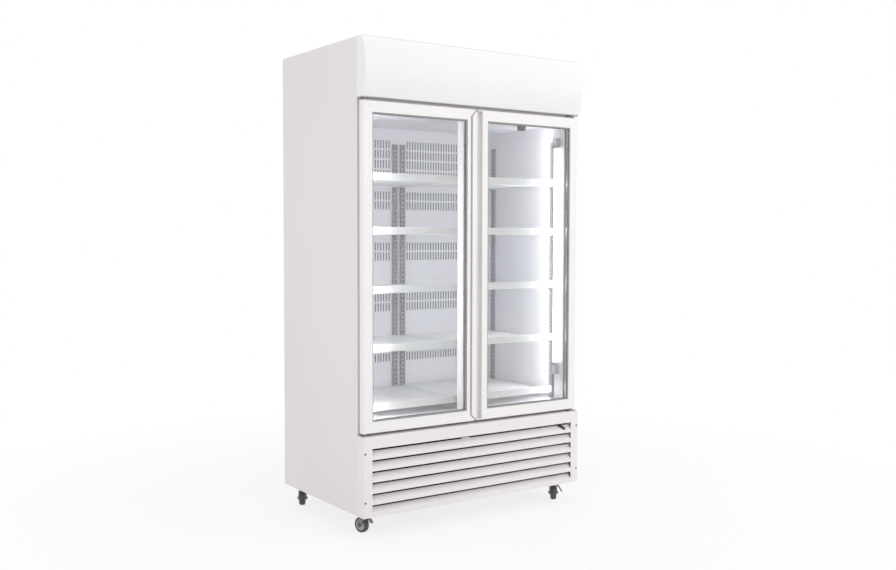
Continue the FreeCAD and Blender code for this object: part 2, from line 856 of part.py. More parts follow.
def make_hinges():
    """Pivot plates above and below each door, each with its pin."""
    parts = []
    for side in ("left", "right"):
        plate_x = sided(side, ("half_width - 1 - bracket_width", "half_width - 1"))
        plate_y = ("door_front + 1", "body_front - canopy_sheet")
        pin_x = "hinge_x" if side == "right" else "-hinge_x"
        low_plate = block(plate_x, plate_y, ("grille_top", "grille_top + bracket_plate"))
        low_pin = rod("pin_radius", "door_gap_low + pin_reach", (pin_x, "hinge_y", "grille_top"))
        high_plate = block(plate_x, plate_y, ("canopy_low - bracket_plate", "canopy_low"))
        high_pin = rod("pin_radius", "door_gap_high + pin_reach", (pin_x, "hinge_y", "door_top - pin_reach"))
        parts += [join(low_plate, low_pin), join(high_plate, high_pin)]
    name(group(*parts), "hinge_brackets")


# ---- castors

castors = {
    "front_left": ("-(half_width - castor_side)", "body_front + castor_front", "front_left_heading", -1),
    "front_right": ("half_width - castor_side", "body_front + castor_front", "front_right_heading", 1),
    "rear_left": ("-(half_width - castor_side)", "rear - castor_back", "rear_left_heading", 0),
    "rear_right": ("half_width - castor_side", "rear - castor_back", "rear_right_heading", 0),
}
disc_top = "base - castor_plate - raceway - swivel_play"
disc_low = f"{disc_top} - fork_disc"
pivot_height = "wheel_radius + lever_rise"
pivot_side = "fork_half + fork_sheet + lever_offset"


def turned(obj, place):
    """Turn a castor piece to its castor's heading and stand it under the cabinet."""
    x, y, heading = place[:3]
    obj.Placement = FreeCAD.Placement(FreeCAD.Vector(), FreeCAD.Rotation(FreeCAD.Vector(0, 0, 1), 0))
    obj.setExpression("Placement.Rotation.Angle", bind(heading))
    put(obj, x, y, 0)
    return obj


def make_castor_plates():
    plates = []
    for place in castors.values():
        x, y = place[:2]
        half = "castor_plate_side / 2"
        plate = block((f"{x} - {half}", f"{x} + {half}"), (f"{y} - {half}", f"{y} + {half}"),
                      ("base - castor_plate", "base"))
        race_low = (x, y, "base - castor_plate - raceway")
        race = rod("swivel_radius", "raceway", race_low)
        hole = rod("stem_radius + pin_play", "castor_plate + raceway", race_low)
        plates.append(cut(join(plate, race), hole))
    name(group(*plates), "castor_plates")


def make_fork(label, place):
    lever_side = place[3]
    parts = [rod("swivel_radius", "fork_disc", ("0", "0", disc_low)),
             rod("stem_radius", f"base - 0.5 - ({disc_top})", ("0", "0", disc_top))]
    root = f"{disc_low} + fork_overlap"
    shoulder = "wheel_radius + leg_shoulder"
    profile = [("-swivel_radius + leg_inset", root), ("swivel_radius - leg_inset", root),
               ("trail + leg_tip", shoulder), ("trail + leg_tip / 2", "wheel_radius - leg_tip"),
               ("trail - leg_tip / 2", "wheel_radius - leg_tip"), ("trail - leg_tip", shoulder)]
    for side in ("fork_half + fork_sheet", "-fork_half"):
        leg = padded(profile, "XZ_Plane", "fork_sheet")
        put(leg, 0, side, 0)
        parts.append(leg)
    parts.append(rod("axle_radius", "2 * (fork_half + fork_sheet)",
                     ("trail", "-(fork_half + fork_sheet)", "wheel_radius"), "Y"))
    fork = join(*parts)
    if lever_side:
        ears = []
        reach = ("fork_half + fork_sheet", f"{pivot_side} + ear_half")
        span = reach if lever_side > 0 else flip(reach)
        for low in ("lever_width / 2 + ear_play", "-(lever_width / 2 + ear_play + fork_sheet)"):
            ears.append(block((f"lever_seat + {low}", f"lever_seat + {low} + fork_sheet"), span,
                              (f"{pivot_height} - ear_half", f"{pivot_height} + ear_half")))
        bore_start = ("lever_seat - lever_width / 2 - 3 * fork_sheet", lever_centre(lever_side), pivot_height)
        bore = rod("stub_radius + pin_play", "lever_width + 6 * fork_sheet", bore_start, "X")
        fork = join(fork, *[cut(ear, bore) for ear in ears])
    name(turned(fork, place), f"{label}_castor_fork")


def lever_centre(lever_side):
    return pivot_side if lever_side > 0 else f"-({pivot_side})"


def make_wheel(label, place):
    """Tyre and hub in one turned piece, dished on both sides."""
    half = "wheel_width / 2"
    drum = rod("wheel_radius", "wheel_width", ("trail", f"-{half}", "wheel_radius"), "Y")
    tyre = rounded(drum, "tread_round", lambda edge: edge.Length > 4 * size["wheel_radius"])
    bore = rod("axle_radius + pin_play", "wheel_width", ("trail", f"-{half}", "wheel_radius"), "Y")
    dishes = []
    for y in (f"-{half}", f"{half} - dish_depth"):
        dish = rod("dish_radius", "dish_depth", ("trail", y, "wheel_radius"), "Y")
        boss = rod("boss_radius", "dish_depth", ("trail", y, "wheel_radius"), "Y")
        dishes.append(cut(dish, boss))
    name(turned(cut(tyre, bore, *dishes), place), f"{label}_castor_wheel")


def make_brake_lever(label, place):
    """V-shaped pedal: the long arm is pressed to lock the wheel, the short one to free it."""
    sign = "" if place[3] > 0 else "-"
    corners = [("0", "barrel"), ("release_out - pedal_edge", "release_up + pedal_edge"),
               ("release_out", "release_up"), ("barrel", "pedal_edge / 2"), ("pedal_out", "-pedal_down"),
               ("pedal_out - pedal_edge", "-pedal_down - pedal_edge"), ("0", "-barrel")]
    profile = [(f"{sign}({y})", z) for y, z in corners]
    centre = lever_centre(place[3])
    arms = padded(profile, "YZ_Plane", "lever_width", symmetric=True)
    put(arms, "lever_seat", centre, pivot_height)
    barrel = rod("barrel", "lever_width", ("lever_seat - lever_width / 2", centre, pivot_height), "X")
    stub_length = "lever_width + 2 * (ear_play + fork_sheet)"
    stubs = rod("stub_radius", stub_length, (f"lever_seat - ({stub_length}) / 2", centre, pivot_height), "X")
    name(turned(join(arms, barrel, stubs), place), f"{label}_brake_lever")


# ---- machinery


def make_coil(label, x, y, z, fins_alias, rows_alias):
    """Finned coil: evenly spaced fins with two columns of tubes through them."""
    low, high = x
    fin_count, tube_rows = int(size[fins_alias]), int(size[rows_alias])
    fins = []
    for n in range(fin_count + 1):
        at = f"{low} + ({high} - fin - ({low})) * {n} / {fin_count}"
        fins.append(block((at, f"{at} + fin"), y, z))
    tubes = []
    for row in range(tube_rows):
        height = f"{z[0]} + ({z[1]} - ({z[0]})) * {2 * row + 1} / {2 * tube_rows}"
        for share in (1, 3):
            depth = f"{y[0]} + ({y[1]} - ({y[0]})) * {share} / 4"
            length = f"{high} - ({low}) + 2 * coil_stub"
            tubes.append(rod("coil_tube", length, (f"{low} - coil_stub", depth, height), "X"))
    name(join(*fins, *tubes), label)


def make_fan(label, radius, at, blades=5):
    """Axial fan on a Y shaft, its hub open at the back for the motor shaft."""
    x, y, z = (number(value) for value in at)
    hub_radius, depth = size["fan_hub"], size["fan_depth"]
    hub = Part.makeCylinder(hub_radius, depth, FreeCAD.Vector(0, 0, 0), FreeCAD.Vector(0, 1, 0))
    reach = size[radius] - hub_radius
    parts = [hub]
    for n in range(blades):
        blade = Part.makeBox(reach + 4, size["fan_blade"], 2 * hub_radius,
                             FreeCAD.Vector(hub_radius - 4, -size["fan_blade"] / 2, -hub_radius))
        blade.rotate(FreeCAD.Vector(), FreeCAD.Vector(1, 0, 0), size["fan_pitch"])
        blade.translate(FreeCAD.Vector(0, depth / 2, 0))
        blade.rotate(FreeCAD.Vector(), FreeCAD.Vector(0, 1, 0), 360 * n / blades)
        parts.append(blade)
    fan = parts[0].fuse(parts[1:])
    rim = Part.makeCylinder(size[radius], depth, FreeCAD.Vector(0, 0, 0), FreeCAD.Vector(0, 1, 0))
    bore = Part.makeCylinder(size["shaft"] + size["pin_play"], depth / 2, FreeCAD.Vector(0, depth / 2, 0),
                             FreeCAD.Vector(0, 1, 0))
    feature = made(fan.common(rim).cut(bore).removeSplitter())
    feature.Placement.Base = FreeCAD.Vector(x, y, z)
    name(feature, label)


def make_compressor():
    """Hermetic shell on a plate with four feet, with its terminal cover and suction stub."""
    x, y = "compressor_x", "compressor_y"
    under = f"{deck} + foot_rise"
    shell = rounded(rod("shell_radius", "shell_height", (x, y, under)), "shell_round",
                    lambda edge: edge.Length > 4 * size["shell_radius"])
    square = [(f"{middle} - shell_radius", f"{middle} + shell_radius") for middle in (x, y)]
    plate = block(*square, (f"{under} - base_sheet", under))
    reach = "(shell_radius - 2 * foot_radius)"
    feet = [rod("foot_radius", "foot_rise", (f"{x} {a} {reach}", f"{y} {b} {reach}", deck))
            for a in "+-" for b in "+-"]
    cover = block((f"{x} - shell_radius / 3", f"{x} + shell_radius / 3"),
                  (f"{y} - shell_radius * 5 / 4", f"{y} - shell_radius * 3 / 4"),
                  (f"{under} + shell_height / 3", f"{under} + shell_height * 2 / 3"))
    port_low = f"{under} + shell_height - port_radius"
    port = rod("port_radius", "port_length", (f"{x} + shell_radius / 3", y, port_low))
    name(join(shell, plate, *feet, cover, port), "compressor")


def make_machinery():
    coil_y = ("body_front + condenser_gap", "body_front + condenser_gap + condenser_depth")
    make_coil("condenser", ("-condenser_left", "-condenser_right"), coil_y,
              (deck, f"{deck} + condenser_height"), "condenser_fins", "condenser_rows")
    make_coil("evaporator", centred("evaporator_half"),
              ("evaporator_front", "evaporator_front + evaporator_depth"),
              ("ceiling + panel_sheet", "cold_top - evaporator_gap"), "evaporator_fins", "evaporator_rows")
    make_compressor()
    warm_x = "-(condenser_left + condenser_right) / 2"
    warm = (warm_x, f"{coil_y[1]} + fan_gap", f"{deck} + condenser_height / 2")
    cold_y = "evaporator_front - fan_gap - fan_depth - motor_length"
    cold_z = "(ceiling + cold_top) / 2"
    left_cold = ("-cold_fan_side", cold_y, cold_z)
    right_cold = ("cold_fan_side", cold_y, cold_z)
    make_fan("condenser_fan", "fan_radius", warm)
    make_fan("left_evaporator_fan", "cold_fan_radius", left_cold)
    make_fan("right_evaporator_fan", "cold_fan_radius", right_cold)
    motors = []
    cold_floor = "ceiling + panel_sheet"
    for (x, y, z), ground in ((warm, deck), (left_cold, cold_floor), (right_cold, cold_floor)):
        start = f"{y} + fan_depth + play"
        case = rod("motor_radius", "motor_length - play", (x, start, z), "Y")
        spindle = rod("shaft", "fan_depth / 2 + play", (x, f"{y} + fan_depth / 2 + play", z), "Y")
        leg_y = (f"{start} + motor_leg / 2", f"{start} + motor_leg * 3 / 2")
        leg = block((f"{x} - motor_leg", f"{x} + motor_leg"), leg_y, (ground, z))
        motors.append(join(case, spindle, leg))
    name(group(*motors), "fan_motors")
    pan = block(("pan_left", "pan_right"), ("pan_front", "pan_back"), (deck, f"{deck} + pan_height"))
    hollow = block(("pan_left + pan_wall", "pan_right - pan_wall"),
                   ("pan_front + pan_wall", "pan_back - pan_wall"),
                   (f"{deck} + pan_wall", f"{deck} + pan_height"))
    name(cut(pan, hollow), "drain_pan")


def make_rear_cover():
    """Slotted plate closing the machine space, with the cable gland through it."""
    half = size["half_width"] - size["skin"]
    low = size["base"] + size["base_sheet"]
    tall = size["floor_low"] - low
    across, rows = int(size["cover_columns"]), int(size["cover_rows"])
    pitch = 2 * half / (across + 1)
    slots = [(pitch * (n + 1) - size["cover_slot"] / 2, tall / 2 + (k - rows / 2) * size["cover_pitch"],
              size["cover_slot"], size["cover_slot_height"]) for n in range(across) for k in range(rows)]
    plate = slotted_sheet(2 * half, tall, size["panel_sheet"], slots)
    plate.rotate(FreeCAD.Vector(), FreeCAD.Vector(1, 0, 0), 90)
    back = size["rear"] - size["rear_cover_inset"]
    plate.translate(FreeCAD.Vector(-half, back, low))
    gland_at = ("-gland_x", "rear - rear_cover_inset - panel_sheet - gland_reach", "base + gland_rise")
    spans = "panel_sheet + 2 * gland_reach"
    hole = rod("gland_radius + play", spans, gland_at, "Y")
    name(cut(made(plate), hole), "rear_cover")
    body = rod("gland_radius", spans, gland_at, "Y")
    inside = rod("gland_nut", "gland_reach", gland_at, "Y")
    outside = rod("gland_nut", "gland_reach", (gland_at[0], "rear - rear_cover_inset", gland_at[2]), "Y")
    name(cut(join(body, inside, outside), rod("gland_bore", spans, gland_at, "Y")), "cable_gland")


def switch_frame():
    """Placement whose X runs across, Y up along the top louvre and Z out of it, at the switch pivot."""
    rise = size["slot_height"] - size["louvre_gap"]
    lean = FreeCAD.Vector(0, size["louvre_recess"], rise).normalize()
    across = FreeCAD.Vector(1, 0, 0)
    tip = FreeCAD.Vector(size["switch_x"], size["grille_front"] + size["louvre_recess"],
                         size["base"] + size["slot_top"] - size["louvre_gap"])
    turn = FreeCAD.Rotation(across, lean, across.cross(lean), "XYZ")
    return FreeCAD.Placement(tip + lean * size["switch_above"], turn)


def make_control_box():
    """Control box with the two-pronged light switch reaching out over the top louvre."""
    frame = switch_frame()
    thick, lift, bar = size["switch_thick"], size["switch_lift"], size["switch_bar"]
    step = bar + size["switch_bar_gap"]
    prongs = [Part.makeBox(size["switch_length"], bar, thick, FreeCAD.Vector(0, y - bar / 2, lift))
              for y in (-step / 2, step / 2)]
    bridge = Part.makeBox(bar, step + bar, thick, FreeCAD.Vector(-bar / 2, -(step + bar) / 2, lift))
    lever = bridge.fuse(prongs)
    lever.rotate(FreeCAD.Vector(), FreeCAD.Vector(0, 0, 1), size["switch_angle"])
    long = size["switch_pin_length"]
    pin = Part.makeCylinder(size["switch_pin"], long + lift + thick, FreeCAD.Vector(0, 0, -long))
    switch = made(lever.fuse(pin).removeSplitter())
    switch.Placement = frame
    name(switch, "light_switch")

    box = block(("control_inner", "half_width - skin"),
                ("body_front + control_gap", "body_front + control_depth"),
                ("base + control_low", "base + control_high"))
    doc.recompute([box])
    end = frame.multVec(FreeCAD.Vector(0, 0, -long))
    front = size["body_front"] + size["control_gap"]
    boss_half = 4 * size["switch_pin"]
    cover = boss_half + 2 * size["play"]
    corner = FreeCAD.Vector(end.x - boss_half, end.y - cover, end.z - boss_half)
    boss = Part.makeBox(2 * boss_half, front - end.y + cover, 2 * boss_half, corner)
    bore_end = FreeCAD.Vector(0, 0, -long - size["play"])
    bore = Part.makeCylinder(size["switch_pin"] + size["pin_play"], 2 * long, bore_end)
    bore.Placement = frame.multiply(bore.Placement)
    name(made(box.Shape.fuse(boss).removeSplitter().cut(bore)), "control_box")


make_shell()
make_insulation()
make_liner()
make_front_frame()
make_vent_panel()
make_ceiling_panel()
make_standards()
make_shelves()
make_ticket_strips()
make_clips()
make_lamps()
make_canopy()
make_grille()
for door_side in ("left", "right"):
    make_door(door_side)
make_hinges()
make_castor_plates()
for corner, corner_place in castors.items():
    make_fork(corner, corner_place)
    make_wheel(corner, corner_place)
    if corner_place[3]:
        make_brake_lever(corner, corner_place)
make_machinery()
make_rear_cover()
make_control_box()

sheet.clear("D1")
doc.recompute()
for item in doc.Objects:
    if {"Invalid", "Error"} & set(item.State):
        raise RuntimeError(f"{item.Label} did not compute")
for node in nodes:
    if node.Shape.isNull() or not node.Shape.isValid():
        raise RuntimeError(f"{node.Label} has no valid shape")
os.makedirs("parts", exist_ok=True)
for node in nodes:
    node.Shape.exportStep(f"parts/{node.Label}.step")
print(f"{len(nodes)} sub-parts written")
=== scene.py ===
import json
import math

import bmesh
import bpy
from mathutils import Matrix, Vector

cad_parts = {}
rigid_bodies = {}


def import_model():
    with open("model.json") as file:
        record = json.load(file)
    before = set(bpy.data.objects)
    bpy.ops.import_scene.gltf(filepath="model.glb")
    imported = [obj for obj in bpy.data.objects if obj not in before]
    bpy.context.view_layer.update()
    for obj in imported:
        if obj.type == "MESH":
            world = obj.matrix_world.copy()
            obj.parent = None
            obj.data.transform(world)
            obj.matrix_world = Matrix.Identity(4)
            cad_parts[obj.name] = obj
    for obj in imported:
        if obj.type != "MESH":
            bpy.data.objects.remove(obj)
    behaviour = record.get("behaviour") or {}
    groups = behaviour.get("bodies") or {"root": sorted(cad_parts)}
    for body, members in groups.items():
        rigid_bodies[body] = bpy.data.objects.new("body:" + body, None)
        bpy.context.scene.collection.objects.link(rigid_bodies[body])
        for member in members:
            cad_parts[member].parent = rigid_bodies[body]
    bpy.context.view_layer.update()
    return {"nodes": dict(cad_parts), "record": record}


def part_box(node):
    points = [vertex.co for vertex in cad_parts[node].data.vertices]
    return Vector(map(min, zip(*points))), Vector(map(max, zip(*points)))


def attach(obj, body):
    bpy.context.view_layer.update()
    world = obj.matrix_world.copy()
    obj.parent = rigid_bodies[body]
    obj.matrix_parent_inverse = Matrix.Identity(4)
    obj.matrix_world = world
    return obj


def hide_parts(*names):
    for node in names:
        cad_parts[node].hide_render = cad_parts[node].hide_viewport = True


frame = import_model()
nodes = frame["nodes"]
joints = {joint["name"]: joint for joint in frame["record"]["behaviour"]["joints"]}
mm = 0.001
print("frame loaded:", len(nodes), "nodes")


def toLinear(hexText):
    parts = [int(hexText[n:n + 2], 16) / 255 for n in (1, 3, 5)]
    return [c / 12.92 if c <= 0.04045 else ((c + 0.055) / 1.055) ** 2.4 for c in parts] + [1]


def addNode(tree, kind, settings=None, links=None):
    node = tree.nodes.new(kind)
    for key, value in (settings or {}).items():
        if isinstance(key, int) or key in node.inputs:
            node.inputs[key].default_value = value
        else:
            setattr(node, key, value)
    for key, socket in (links or {}).items():
        tree.links.new(socket, node.inputs[key])
    return node


def perSize(sizeMm):
    return 1 / (sizeMm * mm)  # texture scale that repeats about once in this many millimetres


def newFinish(name, settings):
    material = bpy.data.materials.new(name)
    material.use_nodes = True
    tree = material.node_tree
    tree.nodes.clear()
    shader = addNode(tree, "ShaderNodeBsdfPrincipled", settings)
    out = addNode(tree, "ShaderNodeOutputMaterial", links={"Surface": shader.outputs[0]})
    place = addNode(tree, "ShaderNodeTexCoord").outputs["Object"]
    return material, tree, shader, out, place


def mixColours(tree, factor, low, high):
    mix = addNode(tree, "ShaderNodeMix", {"data_type": "RGBA"})
    tree.links.new(factor, mix.inputs[0])
    for index, colour in ((6, low), (7, high)):
        if isinstance(colour, str):
            mix.inputs[index].default_value = toLinear(colour)
        else:
            tree.links.new(colour, mix.inputs[index])
    return mix.outputs[2]


def spread(tree, value, low, high, fromLow=0, fromHigh=1):
    settings = {"From Min": fromLow, "From Max": fromHigh, "To Min": low, "To Max": high}
    return addNode(tree, "ShaderNodeMapRange", settings, {"Value": value}).outputs[0]


def coated(name, look):
    # paint or gel over a smooth base: a slow drift in tone, a fine skin, and slight differences in gloss
    material, tree, shader, out, place = newFinish(name, {
        "Roughness": look["gloss"], "Metallic": 0, "IOR": 1.5})
    drift = addNode(tree, "ShaderNodeTexNoise", {"Scale": perSize(look["driftMm"]), "Detail": 3},
                    {"Vector": place})
    colour = mixColours(tree, spread(tree, drift.outputs[0], 0, 1, 0.3, 0.7), look["shade"], look["colour"])
    tree.links.new(colour, shader.inputs["Base Color"])
    skin = addNode(tree, "ShaderNodeTexNoise", {"Scale": perSize(look["skinMm"]), "Detail": 4},
                   {"Vector": place})
    gloss = spread(tree, skin.outputs[0], look["gloss"] - 0.06, look["gloss"] + 0.06)
    tree.links.new(gloss, shader.inputs["Roughness"])
    relief = {"Strength": look["skinStrength"], "Distance": look["skinDepthMm"] * mm}
    bump = addNode(tree, "ShaderNodeBump", relief, {"Height": skin.outputs[0]})
    tree.links.new(bump.outputs[0], shader.inputs["Normal"])
    return material, tree, shader, out, place


coatLooks = {
    # powder-coated steel sheet: faint orange peel about 2 mm across, satin
    "powderCoatedSheet": {"colour": "#EDE8E7", "shade": "#E9E3E3", "gloss": 0.42, "driftMm": 700, "skinMm": 2.2,
                          "skinStrength": 0.25, "skinDepthMm": 0.12},
    # the grille's paint is a touch pinker than the doors
    "powderCoatedGrille": {"colour": "#F0ECEC", "shade": "#EBE6E8", "gloss": 0.4, "driftMm": 500, "skinMm": 2.2,
                           "skinStrength": 0.2, "skinDepthMm": 0.1},
    # door extrusions: smoother coat over aluminium
    "powderCoatedDoor": {"colour": "#F6F4F3", "shade": "#F1EEEE", "gloss": 0.33, "driftMm": 400, "skinMm": 1.4,
                         "skinStrength": 0.15, "skinDepthMm": 0.06},
    # inside walls: prepainted steel, cooler white
    "prepaintedLiner": {"colour": "#F0F0F4", "shade": "#E9EAF0", "gloss": 0.36, "driftMm": 600, "skinMm": 3,
                        "skinStrength": 0.15, "skinDepthMm": 0.08},
    # slotted uprights: thin grey paint over zinc, the grey taken darker as painted shade for the webs seen
    # edge-on
    "greyStandardWithShade": {"colour": "#97959B", "shade": "#89878E", "gloss": 0.4, "driftMm": 120, "skinMm": 1.6,
                        "skinStrength": 0.2, "skinDepthMm": 0.08},
    # shelves: thick white powder coat
    "powderCoatedShelf": {"colour": "#F3F4F5", "shade": "#ECEEF0", "gloss": 0.35, "driftMm": 200, "skinMm": 1.8,
                          "skinStrength": 0.2, "skinDepthMm": 0.1},
    # extruded PVC ticket strip: smooth, slightly waxy
    "extrudedPvc": {"colour": "#F7F9F9", "shade": "#F1F5F4", "gloss": 0.28, "driftMm": 150, "skinMm": 6,
                    "skinStrength": 0.08, "skinDepthMm": 0.05},
    # moulded ABS, fine spark-eroded grain
    "greyAbs": {"colour": "#8C8A8C", "shade": "#828083", "gloss": 0.5, "driftMm": 40, "skinMm": 0.8,
                "skinStrength": 0.3, "skinDepthMm": 0.06},
    # extruded PVC strips that hold the light box's face
    "trimPvc": {"colour": "#DCDBDE", "shade": "#D4D3D7", "gloss": 0.35, "driftMm": 150, "skinMm": 4,
                "skinStrength": 0.1, "skinDepthMm": 0.05},
    # moulded white lamp sockets
    "socketNylon": {"colour": "#D9D9DD", "shade": "#CFCFD4", "gloss": 0.4, "driftMm": 40, "skinMm": 0.9,
                    "skinStrength": 0.2, "skinDepthMm": 0.05},
    # moulded black nylon: motors, fans, gland and switch
    "blackNylon": {"colour": "#2B2B2D", "shade": "#232325", "gloss": 0.48, "driftMm": 30, "skinMm": 0.9,
                   "skinStrength": 0.3, "skinDepthMm": 0.06},
    # baked enamel on the compressor shell
    "blackEnamel": {"colour": "#1A1A1C", "shade": "#141416", "gloss": 0.22, "driftMm": 60, "skinMm": 4,
                    "skinStrength": 0.2, "skinDepthMm": 0.1},
    # extruded PVC gasket with its magnet strip, soft and matt
    "gasketVinyl": {"colour": "#8A8284", "shade": "#7E7779", "gloss": 0.6, "driftMm": 60, "skinMm": 1.2,
                    "skinStrength": 0.2, "skinDepthMm": 0.05},
    # grey glazing rubber
    "glazingRubber": {"colour": "#A6A4A6", "shade": "#989698", "gloss": 0.65, "driftMm": 50, "skinMm": 1,
                      "skinStrength": 0.2, "skinDepthMm": 0.05},
    # cast polyurethane tread, slightly dusty, on a moulded nylon hub
    "castorTread": {"colour": "#5B6062", "shade": "#4B5052", "gloss": 0.7, "driftMm": 9, "skinMm": 0.9,
                    "skinStrength": 0.4, "skinDepthMm": 0.12},
    "castorHub": {"colour": "#CFC6C9", "shade": "#BDB3B7", "gloss": 0.45, "driftMm": 14, "skinMm": 0.8,
                  "skinStrength": 0.25, "skinDepthMm": 0.06},
    # foamed polyurethane, cut face with open cells
    "rigidFoam": {"colour": "#DCCB9A", "shade": "#CDBB88", "gloss": 0.8, "driftMm": 30, "skinMm": 1.6,
                  "skinStrength": 0.6, "skinDepthMm": 0.5},
}
finishes = {name: coated(name, look)[0] for name, look in coatLooks.items()}

# painted shade: dark grey for the liner from this depth back, inside the air duct behind the vent panel
ductShadeLook = {"startMm": 303, "colour": "#5E5D63"}


def paintDuctShade(name, look):
    # painted shade: the liner's unlit stretch in the air duct, behind the vent panel, is coloured dark grey
    material, tree, shader, out, place = coated(name, coatLooks["prepaintedLiner"])
    depth = addNode(tree, "ShaderNodeSeparateXYZ", links={0: place}).outputs[1]
    start = look["startMm"] * mm
    share = spread(tree, depth, 0, 1, start, start + mm)
    painted = shader.inputs["Base Color"].links[0].from_socket
    tree.links.new(mixColours(tree, share, painted, look["colour"]), shader.inputs["Base Color"])
    return material


finishes["linerWithDuctShade"] = paintDuctShade("linerWithDuctShade", ductShadeLook)

metalLooks = {
    # zinc spangle about 12 mm across, dulled by handling
    "galvanisedSteel": {"light": "#B4B5B8", "dark": "#A2A4A7", "rough": 0.38, "cellMm": 12},
    # castor pressings: small-grained bright zinc gone grey
    "zincPlatedSteel": {"light": "#8E9091", "dark": "#6C6F70", "rough": 0.4, "cellMm": 3},
    "spacerAluminium": {"light": "#C6C6C8", "dark": "#B2B2B5", "rough": 0.35, "cellMm": 5},
}


def plated(name, look):
    material, tree, shader, out, place = newFinish(name, {"Metallic": 1, "Roughness": look["rough"]})
    cells = addNode(tree, "ShaderNodeTexVoronoi", {"Scale": perSize(look["cellMm"])}, {"Vector": place})
    grey = addNode(tree, "ShaderNodeSeparateColor", links={"Color": cells.outputs["Color"]}).outputs[0]
    tree.links.new(mixColours(tree, grey, look["dark"], look["light"]), shader.inputs["Base Color"])
    tree.links.new(spread(tree, grey, look["rough"] - 0.08, look["rough"] + 0.1), shader.inputs["Roughness"])
    return material


finishes.update({name: plated(name, look) for name, look in metalLooks.items()})

glassLook = {"ior": 1.45, "tint": "#FFFFFF"}  # low-iron panes, no green to see


def floatGlass(name, look):
    # clear float glass; lamps shine through it
    material, tree, shader, out, place = newFinish(name, {
        "Base Color": toLinear(look["tint"]), "Roughness": 0.0, "IOR": look["ior"], "Transmission Weight": 1.0})
    clear = addNode(tree, "ShaderNodeBsdfTransparent", {"Color": toLinear(look["tint"])})
    path = addNode(tree, "ShaderNodeLightPath")
    mix = addNode(tree, "ShaderNodeMixShader")
    tree.links.new(path.outputs["Is Shadow Ray"], mix.inputs[0])
    tree.links.new(shader.outputs[0], mix.inputs[1])
    tree.links.new(clear.outputs[0], mix.inputs[2])
    tree.links.new(mix.outputs[0], out.inputs["Surface"])
    return material


finishes["floatGlass"] = floatGlass("floatGlass", glassLook)

glowLooks = {
    # fluorescent tube: phosphor-coated glass, lit
    "litTube": {"colour": "#FBFAFF", "shade": "#F5F5F6", "glow": 3.0, "rough": 0.25},
    # opal acrylic light box, lit evenly from inside
    "opalAcrylic": {"colour": "#F1F1F2", "shade": "#EEEEEF", "glow": 0.02, "rough": 0.22},
}


def glowing(name, look):
    material, tree, shader, out, place = newFinish(name, {
        "Roughness": look["rough"], "IOR": 1.49, "Emission Strength": look["glow"],
        "Emission Color": toLinear(look["colour"])})
    cloud = addNode(tree, "ShaderNodeTexNoise", {"Scale": perSize(300), "Detail": 2}, {"Vector": place})
    colour = mixColours(tree, cloud.outputs[0], look["shade"], look["colour"])
    tree.links.new(colour, shader.inputs["Base Color"])
    return material


finishes.update({name: glowing(name, look) for name, look in glowLooks.items()})

coilLooks = {
    "finnedAluminium": {"fin": "#C3C6C9", "gap": "#7D8184", "finMm": 4},
    # painted shade: the condenser's fins and tubes are painted black, a near-black chosen so that what shows
    # between the louvres reads dark
    "shadeDarkFins": {"fin": "#2A2A2C", "gap": "#151516", "finMm": 4},
}
bandsPerScale = 20  # Blender's wave texture draws about this many bands at scale 1 in one metre


def finned(name, look):
    # fin stock: thin edges with painted shade between them, drawn coarser than real so that it shows
    material, tree, shader, out, place = newFinish(name, {"Metallic": 0.9, "Roughness": 0.35})
    scale = perSize(look["finMm"]) / bandsPerScale
    wave = addNode(tree, "ShaderNodeTexWave", {"Scale": scale, "Distortion": 0.3, "bands_direction": "X"},
                   {"Vector": place})
    tree.links.new(mixColours(tree, wave.outputs[1], look["gap"], look["fin"]), shader.inputs["Base Color"])
    return material


finishes.update({name: finned(name, look) for name, look in coilLooks.items()})
print("finishes made:", len(finishes))

nodeFinishes = {
    "powderCoatedSheet": ["left_side_panel", "right_side_panel", "back_panel", "top_panel", "canopy_box"],
    "powderCoatedDoor": ["left_door_frame", "right_door_frame", "mullion", "front_frame"],
    "powderCoatedGrille": ["grille_frame", "grille_louvres"],
    "prepaintedLiner": ["vent_panel", "ceiling_panel"],
    # inner liner, with painted shade in the duct behind the vent panel
    "linerWithDuctShade": ["inner_liner"],
    "greyStandardWithShade": ["shelf_standards"],
    "powderCoatedShelf": ["shelf_level_1", "shelf_level_2", "shelf_level_3", "shelf_level_4", "floor_shelves"],
    "extrudedPvc": ["ticket_strips"],
    "galvanisedSteel": ["base_plate", "rear_cover", "shelf_clips", "screws", "hinge_brackets"],
    "zincPlatedSteel": ["castor_plates", "front_left_brake_lever", "front_right_brake_lever"],
    "opalAcrylic": ["canopy_face", "canopy_cheeks"],
    "trimPvc": ["canopy_trim"],
    "litTube": ["lamp_tubes"],
    "socketNylon": ["lamp_holders"],
    "greyAbs": ["control_box", "drain_pan"],
    "blackNylon": ["fan_motors", "cable_gland", "condenser_fan", "left_evaporator_fan", "right_evaporator_fan",
                   "light_switch"],
    "blackEnamel": ["compressor"],
    "rigidFoam": ["insulation"],
    "finnedAluminium": ["evaporator"],
    "shadeDarkFins": ["condenser"],
    "floatGlass": ["left_glass", "right_glass"],
    "spacerAluminium": ["left_glass_spacer", "right_glass_spacer"],
    "gasketVinyl": ["left_gasket", "right_gasket"],
}
corners = ("front_left", "front_right", "rear_left", "rear_right")
nodeFinishes["zincPlatedSteel"] += [f"{corner}_castor_fork" for corner in corners]
nodeFinishes["castorTread"] = [f"{corner}_castor_wheel" for corner in corners]


def paintNodes():
    for finish, names in nodeFinishes.items():
        for name in names:
            for slot in nodes[name].material_slots:
                slot.material = finishes[finish]


paintNodes()
print("nodes painted")


